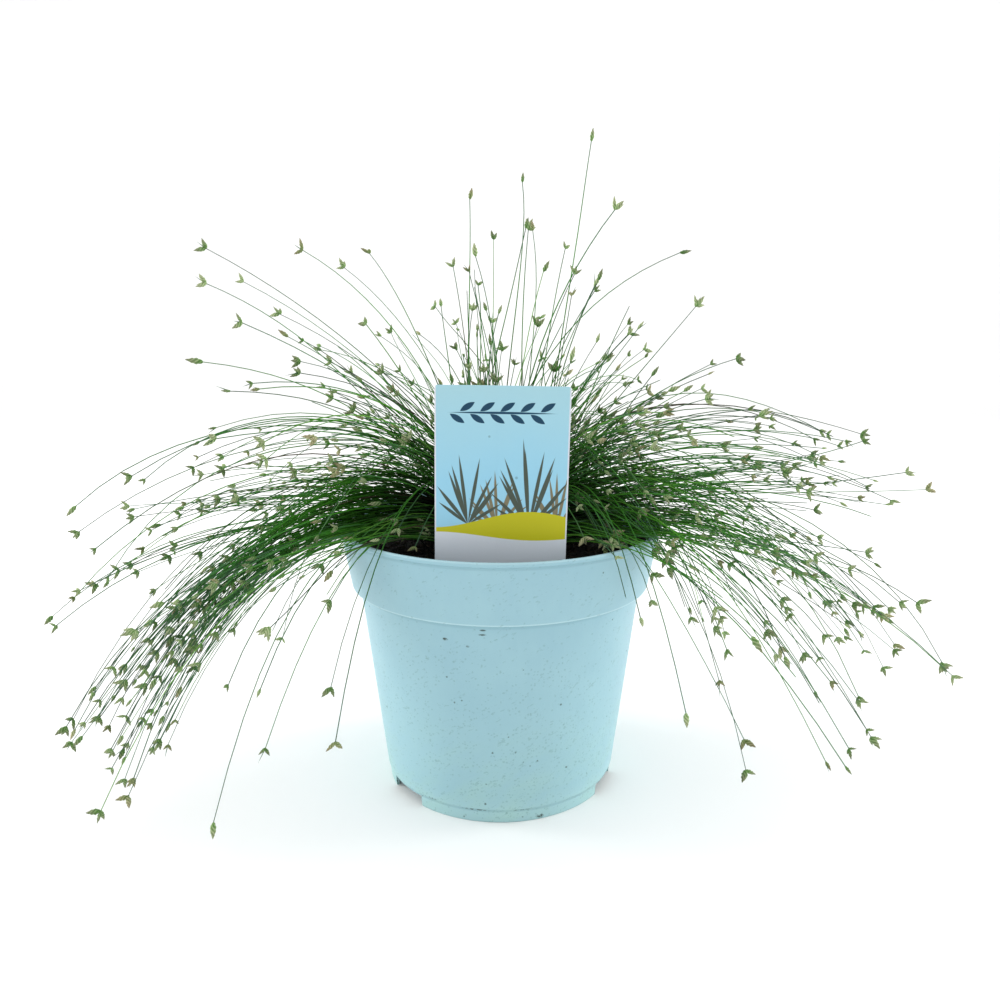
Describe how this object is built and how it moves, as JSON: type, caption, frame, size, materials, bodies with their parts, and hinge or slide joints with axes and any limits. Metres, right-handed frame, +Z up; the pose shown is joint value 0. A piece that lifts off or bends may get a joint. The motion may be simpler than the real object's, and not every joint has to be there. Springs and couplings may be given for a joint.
{
  "type": "potted grass-like sedge",
  "caption": "Clump of hair-thin arching green stems tipped with small seed heads, in a tapered light blue nursery pot with a plant label card.",
  "frame": {"origin": "centre of the pot's underside, on the surface that the pot stands on", "axes": "+Z up, -Y to the front where the label card faces, +X to the right seen from the front"},
  "size_m": [0.399, 0.2541, 0.2805],
  "materials": {
    "pot_plastic": "satin moulded plastic, lightly scuffed, with specks of soil",
    "potting_soil": "dark, damp, fibrous compost",
    "crown_fibre": "matted stem bases, dull",
    "label_card": "printed thin plastic card with a soft sheen",
    "stem_green": "smooth living stem, slightly waxy"
  },
  "bodies": {
    "root": {"pot": "pot_plastic", "soil": "potting_soil", "crown": "crown_fibre", "label_card": "label_card", "hanging_stems_01": "stem_green", "hanging_stems_02": "stem_green", "hanging_stems_03": "stem_green", "hanging_stems_04": "stem_green", "hanging_stems_05": "stem_green", "hanging_stems_06": "stem_green", "hanging_stems_07": "stem_green", "hanging_stems_08": "stem_green", "hanging_stems_09": "stem_green", "hanging_stems_10": "stem_green", "hanging_stems_11": "stem_green", "hanging_stems_12": "stem_green", "hanging_stems_13": "stem_green", "hanging_stems_14": "stem_green", "hanging_stems_15": "stem_green", "hanging_stems_16": "stem_green", "hanging_stems_17": "stem_green", "hanging_stems_18": "stem_green", "arching_stems_01": "stem_green", "arching_stems_02": "stem_green", "arching_stems_03": "stem_green", "arching_stems_04": "stem_green", "arching_stems_05": "stem_green", "arching_stems_06": "stem_green", "arching_stems_07": "stem_green", "arching_stems_08": "stem_green", "arching_stems_09": "stem_green", "arching_stems_10": "stem_green", "arching_stems_11": "stem_green", "arching_stems_12": "stem_green", "arching_stems_13": "stem_green", "arching_stems_14": "stem_green", "spreading_stems_01": "stem_green", "spreading_stems_02": "stem_green", "spreading_stems_03": "stem_green", "spreading_stems_04": "stem_green", "spreading_stems_05": "stem_green", "spreading_stems_06": "stem_green", "spreading_stems_07": "stem_green", "spreading_stems_08": "stem_green", "spreading_stems_09": "stem_green", "spreading_stems_10": "stem_green", "spreading_stems_11": "stem_green", "spreading_stems_12": "stem_green", "upright_stems_01": "stem_green", "upright_stems_02": "stem_green", "upright_stems_03": "stem_green", "upright_stems_04": "stem_green", "upright_stems_05": "stem_green", "upright_stems_06": "stem_green", "upright_stems_07": "stem_green"}
  },
  "joints": []
}
